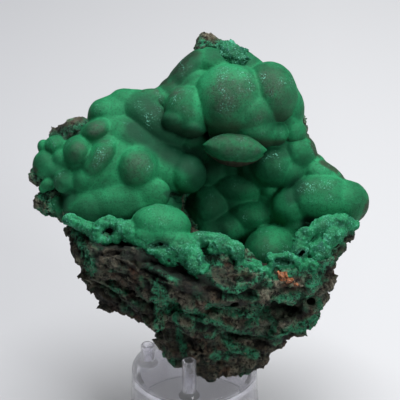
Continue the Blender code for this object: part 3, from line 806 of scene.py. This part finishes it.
def clear_plastic_finish():
    """Clear, glossy and faintly violet."""
    material, _, shader = new_material("clear_plastic")
    shader.inputs["Base Color"].default_value = (*CLEAR_VIOLET, 1.0)
    shader.inputs["Roughness"].default_value = 0.03
    shader.inputs["IOR"].default_value = 1.45
    shader.inputs["Transmission Weight"].default_value = 1.0
    shader.inputs["Alpha"].default_value = 0.68
    return material


def floor_finish():
    """Plain pale floor, with painted shade making it a little darker on the left and a faint glow, painted
    light, that lightens the shadows on it.
    """
    material, tree, shader = new_material("floor")
    place = add(tree, "TexCoord").outputs["Object"]
    across = add(tree, "SeparateXYZ", {"Vector": place}).outputs["X"]
    colour = blend_colour(tree, ramp(tree, across, -0.24, 0.08), FLOOR_PAINTED_SHADE, FLOOR_BRIGHT)
    tree.links.new(colour, shader.inputs["Base Color"])
    # Painted light: the floor glows faintly, which lightens the shadows on it.
    shader.inputs["Emission Color"].default_value = (*FLOOR_GLOW, 1.0)
    shader.inputs["Emission Strength"].default_value = 0.17
    set_surface(shader, 0.9, 0.1)
    return material


# ---------------------------------------------------------------- the stone

MALACHITE = CROWN + BROKEN + BASIN + LIP
ROCK = ROCK_BACK + ROCK_FRONT


def mark_crust(crust, points, normals, crease, rise, sugar):
    """Marks creases, dust and flecks on malachite, from how far each point rises above its creases, and adds
    painted light along the bright places to the crease mark.
    """
    patchy = 0.5 + 0.5 * layered(points, 12.0, 3, 20)
    mottled = 0.5 + 0.5 * layered(points, 5.0, 3, 23)
    facing = ease(normals[:, 2] - 0.3 * normals[:, 1], -0.4, 0.7)
    top = ease(rise, 0.6, 3.4) * facing
    face = face_places(points)
    bright = crease * (0.4 + 0.6 * patchy) * (1.0 - 0.4 * sugar)
    dust = np.maximum(spread(face, DUSTY_PLACES) * (0.5 + 0.7 * mottled), 0.5 * top * ease(patchy, 0.4, 0.9))
    # Painted light: the bright places add a brighter green to the crease mark.
    store(crust, "crease", np.maximum(bright, spread(face, PAINTED_LIGHT_PLACES)))
    store(crust, "dust", (0.3 + 0.7 * top) * dust * (1.0 - 0.5 * sugar))
    store(crust, "druse", np.maximum(0.8 * sugar, top * ease(mottled * patchy, 0.2, 0.6)))
    return face, mottled


def ragged_cutter(lumps, voxel, raggedness):
    """The shape that cuts holes, with uneven walls."""
    cutter = lump_object("holes", lumps, COARSE_LUMP_DETAIL)
    fuse(cutter, voxel)
    points = read_points(cutter)
    ragged = chipped(points, 2.6, 97) + 0.5 * layered(points, 2.4, 2, 98)
    write_points(cutter, points + read_normals(cutter) * (raggedness * ragged)[:, None])
    fuse(cutter, voxel)
    return cutter


def sugary_relief(points):
    """Broken, sugary crystal: fine grains on worn facets and pits."""
    grains = 0.4 * ridged(points, 2.4, 3, 90) + 0.5 * chipped(points, 1.3, 91) - 0.1
    worn = chipped(points, 4.2, 94) + 0.9 * layered(points, 5.0, 2, 95) - 1.3 * pits(points, 3.2, 0.35, 96)
    return grains + worn


def make_crust(
    name, lumps, finish, voxel, blend, sugar=0.0, holes=(),
    painted_shade_places=PAINTED_SHADE_PLACES, underside_painted_shade=0.0, hollow_painted_shade=0.0,
):
    """Malachite domes grown together, slightly uneven, with creases, dust, flecks and sugary crystal marked.

    sugar says how sugary the crust is. The last two keywords say how much painted shade, in dark brown, it
    gets where it overhangs, and how much painted shade darkens it into the hollow.
    """
    crust = lump_object(name, lumps)
    fuse(crust, voxel)
    if holes:
        boolean(crust, ragged_cutter(holes, LIP_VOXEL, HOLE_RAGGED), "DIFFERENCE")
    points = read_points(crust)
    in_hole = ease(-nearest_gap(points, holes), -1.2, -0.4) if holes else np.zeros(len(points))
    settled, crease, rise = settle_on_skin(points, lumps, blend)
    points += (1.0 - in_hole)[:, None] * (settled - points)
    write_points(crust, points)
    normals = read_normals(crust)
    smooth_reach, smooth_run = SMOOTH_LIP
    sugar = sugar * (1.0 - near_run(face_places(points), smooth_run, smooth_reach))
    broken = sugar * sugary_relief(points)
    move = (1.0 - in_hole) * (add_layers(points, swell, SKIN_SWELLS) + broken)
    write_points(crust, points + normals * move[:, None])
    sugary = sugar * (0.45 + 0.55 * ease(broken, -0.2, 0.5))
    face, mottled = mark_crust(crust, points, normals, crease, rise, sugary)
    # Painted shade: where the crown overhangs, its underside is painted dark brown.
    underside = ease(-normals[:, 2] - 0.25 * normals[:, 1], 0.25, 0.75) * ease(face[:, 1], 12.0, 15.0)
    underside *= underside_painted_shade * ease(face[:, 2], -2.0, 4.0)
    store(crust, "brown", np.maximum(underside, 0.8 * near_any(face, EDGES) * ease(mottled, 0.2, 0.5)))
    store(crust, "sugar", sugar * (0.35 + 0.65 * ease(broken, -0.1, 0.7)))
    # Painted shade: darker green deeper in the hollow, in the dips of sugary crust, inside holes and along
    # the shaded places.
    hollow_shade_mask = hollow_painted_shade * ease(-nearest_gap(points, DEEP_HOLLOW), -3.0, 4.0)
    sunk = np.maximum(0.75 * ease(-broken, 0.1, 1.1), 0.8 * in_hole)
    store(crust, "deep", np.maximum(np.maximum(hollow_shade_mask, sunk), spread(face, painted_shade_places)))
    thin_hidden(crust, ease(-nearest_gap(points, ROCK), 1.0, 2.5))
    finish_piece(crust, finish)
    return crust


def pinched_ball(place):
    """A ball drawn to a point at both ends, set out by the place matrix."""
    shape = bmesh.new()
    bmesh.ops.create_icosphere(shape, subdivisions=LEAF_DETAIL, radius=1.0)
    for corner in shape.verts:
        pinch = math.sqrt(max(1.0 - corner.co.x**2, 0.0))
        corner.co.y *= pinch
        corner.co.z *= 0.4 + 0.6 * pinch
    bmesh.ops.transform(shape, matrix=Matrix.Scale(MM, 4) @ place, verts=shape.verts)
    return object_from(shape, "malachite_leaf")


def make_leaf(finish):
    """The leaf-shaped shell under the crown, over the brown body it overhangs."""
    leaf_matrix = lump_matrix(*LEAF, LEAF_HALF, LEAF_ROLL_DEG)
    leaf = pinched_ball(leaf_matrix)
    body = pinched_ball(lump_matrix(*UNDER_LEAF, UNDER_LEAF_HALF, LEAF_ROLL_DEG))
    boolean(leaf, body, "UNION")
    fuse(leaf, LEAF_VOXEL)
    points = read_points(leaf)
    normals = read_normals(leaf)
    shell = np.array(leaf_matrix.inverted())
    local = points @ shell[:3, :3].T + shell[:3, 3]
    pinch = np.sqrt(np.maximum(1.0 - local[:, 0] ** 2, 0.01))
    outside = np.hypot(local[:, 1] / pinch, local[:, 2] / (0.4 + 0.6 * pinch)) - 1.0
    underside = ease(outside, 0.02, 0.07) * ease(-local[:, 1], -0.1, 0.2)
    uneven = add_layers(points, swell, LEAF_SWELLS) - 0.5 * underside * pits(points, 2.0, 0.5, 7)
    write_points(leaf, points + normals * uneven[:, None])
    bright_tips = 0.5 * ease(np.abs(local[:, 0]), 0.7, 1.0)
    mark_crust(leaf, points, normals, bright_tips, np.full(len(points), LEAF_RISE), 0.0)
    store(leaf, "brown", underside)
    finish_piece(leaf, finish)
    return leaf


def make_rusty_crystals():
    """A small cluster of orange-brown crystals."""
    cluster = lump_object("rusty_crystals", RUSTY, COARSE_LUMP_DETAIL)
    fuse(cluster, LEAF_VOXEL)
    points = read_points(cluster)
    write_points(cluster, points + read_normals(cluster) * (0.9 * chipped(points, 1.3, 12))[:, None])
    finish_piece(cluster, rusty_finish(), CRYSTAL_EDGE_DEG)
    return cluster


def ledge_height(points, face):
    """Stepped ledges, dipping to the right, that come and go over the rock."""
    wander = 7.0 * swell(points, 18.0, 40) + 1.6 * swell(points, 5.0, 41)
    level = (face[:, 1] + LEDGE_DIP * face[:, 0] + wander) / LEDGE_SPACING
    shelf = level - np.floor(level)
    steep = shelf**1.6 - 0.4
    return LEDGE_HEIGHT * steep * ease(swell(points, 12.0, 44), -0.3, 0.5)


def undercuts(face):
    """The hollows just below the ledges."""
    across, up = UNDERCUT_SHIFT
    below = [(reach, [(x + across, y + up) for x, y in run], height) for reach, run, height in LEDGES]
    return spread(face, below)


def hollowed_rock(name, lumps, voxel):
    """Rock lumps fused, with the hollow and the caves cut out."""
    rock = lump_object(name, lumps, COARSE_LUMP_DETAIL)
    fuse(rock, COARSE_VOXEL)
    hollow = lump_object("hollow", HOLLOW, COARSE_LUMP_DETAIL)
    fuse(hollow, CAVE_VOXEL)
    boolean(rock, hollow, "DIFFERENCE")
    boolean(rock, ragged_cutter(CAVES + BANK_HOLES, CAVE_VOXEL, CAVE_RAGGED), "DIFFERENCE")
    fuse(rock, voxel)
    return rock


def green_film(points, face, front, near_crust, calm):
    """How much green film there is: along its runs, under the crust, in patches and round the hollow."""
    film = near_any(face, FILM) * front
    film = np.maximum(film, 0.9 * ease(-near_crust, -2.2, 0.0))
    film = np.maximum(film, 0.85 * ease(layered(points, 10.0, 3, 80), 0.25, 0.7))
    return np.maximum(film, ease(1.0 - calm, 0.5, 0.8))


def make_rock(name, lumps, finish, voxel):
    """Rock broken into ledges, chips, pits and grit, with green film marked, painted highlight in tan on its
    crests and painted shade in its pits, undercuts and caves.
    """
    rock = hollowed_rock(name, lumps, voxel)
    points = read_points(rock)
    normals = read_normals(rock)
    face = face_places(points)
    in_cave = ease(-nearest_gap(points, CAVES + BANK_HOLES), -1.4, -0.2)
    calm = 1.0 - 0.85 * ease(-nearest_gap(points, HOLLOW), -2.0, -0.5)
    calm *= 1.0 - 0.45 * ease(face[:, 1], 50.0, 58.0)
    calm *= 1.0 - 0.6 * in_cave
    front = ease(face[:, 2], *FRONT_DEPTHS)
    near_crust = nearest_gap(points, MALACHITE)

    ledge = ledge_height(points, face)
    chips = add_layers(points, chipped, ROCK_CHIPS)
    under = undercuts(face)
    deep = 1.9 * pits(points, 3.6, 0.4, 51)
    small = 0.8 * pits(points, 1.7, 0.5, 52)
    grit = 0.5 * (ridged(points, 2.4, 3, 60) - 0.6) + 0.14 * swell(points, 0.8, 70)
    ridge = spread(face, LEDGES) * front
    broken = 1.1 * layered(points, 14.0, 2, 30) + ledge + chips
    move = broken - deep - small + grit + 0.3 + 1.5 * ridge - 1.8 * under
    write_points(rock, points + normals * (move * calm)[:, None])

    # Painted light: the paler places and the raised crests are made tan and lighter.
    pale = spread(face, PAINTED_LIGHT_ROCK_PLACES) * front
    crest = 0.85 * ease(ledge + chips + 1.4 * grit, 0.3, 1.6)
    # Painted shade: darker in pits, undercuts, caves and along the darker places, less where the paler
    # places are.
    dark = ease(deep + small + 1.2 * under - 0.6 * chips - 0.7 * ledge - 1.4 * grit, 0.5, 1.5)
    dark = np.maximum(dark * (1.0 - 0.5 * pale), spread(face, PAINTED_SHADE_ROCK_PLACES) * front)
    store(rock, "film", green_film(points, face, front, near_crust, calm))
    store(rock, "crest", np.maximum(crest, pale * ease(grit + chips, -0.5, 0.3)))
    store(rock, "pit", 0.92 * np.maximum(dark, in_cave * (1.0 - 0.5 * pale)))
    thin_hidden(rock, ease(-near_crust, 1.0, 2.5))
    finish_piece(rock, finish)
    return rock


def finish_piece(piece, material, sharp_deg=None):
    """Gives a piece its material and its place in the part, smooth but for edges over sharp_deg."""
    piece.data.materials.clear()
    piece.data.materials.append(material)
    piece.data.shade_smooth()
    if sharp_deg is not None:
        piece.data.set_sharp_from_angle(angle=math.radians(sharp_deg))
    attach(piece, "root")


# ---------------------------------------------------------------- the stand

def turned_body(name, profile, sides):
    """A closed solid turned from a profile of (radius, height) points, in millimetres."""
    shape = bmesh.new()
    corners = [shape.verts.new((radius * MM, 0.0, height * MM)) for radius, height in profile]
    edges = [shape.edges.new(pair) for pair in zip(corners, corners[1:] + corners[:1])]
    bmesh.ops.spin(
        shape, geom=corners + edges, cent=(0.0, 0.0, 0.0), axis=(0.0, 0.0, 1.0),
        angle=math.tau, steps=sides, use_merge=True, use_duplicate=False,
    )
    bmesh.ops.remove_doubles(shape, verts=shape.verts, dist=0.001 * MM)
    bmesh.ops.recalc_face_normals(shape, faces=shape.faces)
    return object_from(shape, name)


def peg_profile(height):
    """Half section of a hollow peg on its flared foot, sunk halfway into the base's top."""
    sunk = BASE_HEIGHT - BASE_WALL * 0.5
    bore_floor = BASE_HEIGHT + PEG_BORE_FLOOR
    top = BASE_HEIGHT + height
    return [
        (0.0, sunk), (PEG_FOOT_RADIUS, sunk), (PEG_FOOT_RADIUS, BASE_HEIGHT + PEG_FOOT_STEP),
        (PEG_FLARE_RADIUS, BASE_HEIGHT + PEG_FLARE_HEIGHT), (PEG_RADIUS, BASE_HEIGHT + PEG_FOOT_HEIGHT),
        (PEG_RADIUS, top - EDGE_BREAK), (PEG_RADIUS - EDGE_BREAK, top), (PEG_BORE_RADIUS, top),
        (PEG_BORE_RADIUS, bore_floor), (0.0, bore_floor),
    ]


def base_profile():
    """Half section of the base: a tapered cup, open below, with a raised rim round its top."""
    inner_top = BASE_HEIGHT - BASE_WALL
    inner_radius = BASE_TOP_RADIUS - BASE_WALL
    rim_top = BASE_HEIGHT + RIM_RISE
    return [
        (0.0, BASE_HEIGHT), (0.0, inner_top), (inner_radius - INNER_FILLET, inner_top),
        (inner_radius, inner_top - INNER_FILLET), (BASE_BOTTOM_RADIUS - BASE_WALL, 0.0),
        (BASE_BOTTOM_RADIUS, 0.0), (BASE_TOP_RADIUS, BASE_HEIGHT - RIM_STEP),
        (BASE_TOP_RADIUS, rim_top - EDGE_BREAK), (BASE_TOP_RADIUS - EDGE_BREAK, rim_top),
        (BASE_TOP_RADIUS - RIM_WIDTH, rim_top), (BASE_TOP_RADIUS - RIM_WIDTH - RIM_STEP, BASE_HEIGHT),
    ]


def make_stand():
    """Base cup and pegs, moulded as one clear piece."""
    stand = turned_body("clear_stand", base_profile(), BASE_SIDES)
    stand.data.transform(Matrix.Translation((STAND_CENTRE[0] * MM, STAND_CENTRE[1] * MM, 0.0)))
    for direction, height in PEGS:
        turn = math.radians(direction)
        x = STAND_CENTRE[0] + PEG_CIRCLE_RADIUS * math.cos(turn)
        y = STAND_CENTRE[1] + PEG_CIRCLE_RADIUS * math.sin(turn)
        peg = turned_body("peg", peg_profile(height), PEG_SIDES)
        peg.data.transform(Matrix.Translation((x * MM, y * MM, 0.0)))
        boolean(stand, peg, "UNION")
    finish_piece(stand, clear_plastic_finish(), MOULDED_EDGE_DEG)
    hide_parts("peg_stand")


# ---------------------------------------------------------------- room

def make_floor():
    shape = bmesh.new()
    bmesh.ops.create_grid(shape, x_segments=1, y_segments=1, size=FLOOR_HALF)
    floor = object_from(shape, "floor")
    floor.data.materials.append(floor_finish())


def add_softbox(name, place, side, power):
    """A square area light turned towards the stone."""
    lamp = bpy.data.lights.new(name, "AREA")
    lamp.size = side
    lamp.energy = power
    made = bpy.data.objects.new(name, lamp)
    bpy.context.scene.collection.objects.link(made)
    made.location = place
    made.rotation_euler = (Vector(LIT_SPOT) - Vector(place)).to_track_quat("-Z", "Y").to_euler()


def light_room():
    world = bpy.data.worlds.new("room")
    bpy.context.scene.world = world
    world.use_nodes = True
    world.node_tree.nodes["Background"].inputs["Color"].default_value = ROOM_LIGHT
    world.node_tree.nodes["Background"].inputs["Strength"].default_value = ROOM_STRENGTH
    for softbox in SOFTBOXES:
        add_softbox(*softbox)
    bpy.context.scene.view_settings.view_transform = "Standard"


def add_camera():
    lens = bpy.data.cameras.new("camera")
    lens.sensor_width = SENSOR_WIDTH
    lens.lens = SENSOR_WIDTH * SIGHT_DISTANCE / FRAME_WIDTH
    lens.clip_start = NEAREST_SEEN
    camera = bpy.data.objects.new("camera", lens)
    bpy.context.scene.collection.objects.link(camera)
    camera.matrix_world = (
        Matrix.Translation(Vector(FACE_CENTRE) * MM)
        @ FACE_TO_UPRIGHT.to_quaternion().to_matrix().to_4x4()
        @ Matrix.Translation((0.0, 0.0, SIGHT_DISTANCE * MM))
    )
    bpy.context.scene.camera = camera


add_camera()
light_room()
make_floor()
make_stand()
GREEN = malachite_finish()
BROWN = rock_finish()
STONE_PIECES = [
    make_crust("malachite_crown", CROWN, GREEN, BALL_VOXEL, CROWN_BLEND, underside_painted_shade=0.75),
    make_leaf(GREEN),
    make_crust("malachite_shelf_end", BROKEN, GREEN, LIP_VOXEL, SUGARY_BLEND, sugar=0.9),
    make_crust("malachite_basin", BASIN, GREEN, BALL_VOXEL, BASIN_BLEND, holes=BANK_HOLES, hollow_painted_shade=0.25),
    make_crust("malachite_lip", LIP, GREEN, LIP_VOXEL, SUGARY_BLEND, sugar=0.7, holes=HOLES, painted_shade_places=()),
    make_rusty_crystals(),
    make_rock("host_rock_back", ROCK_BACK, BROWN, ROCK_VOXEL),
    make_rock("host_rock_front", ROCK_FRONT, BROWN, FINE_ROCK_VOXEL),
]
for stone_piece in STONE_PIECES:
    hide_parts("malachite_specimen")
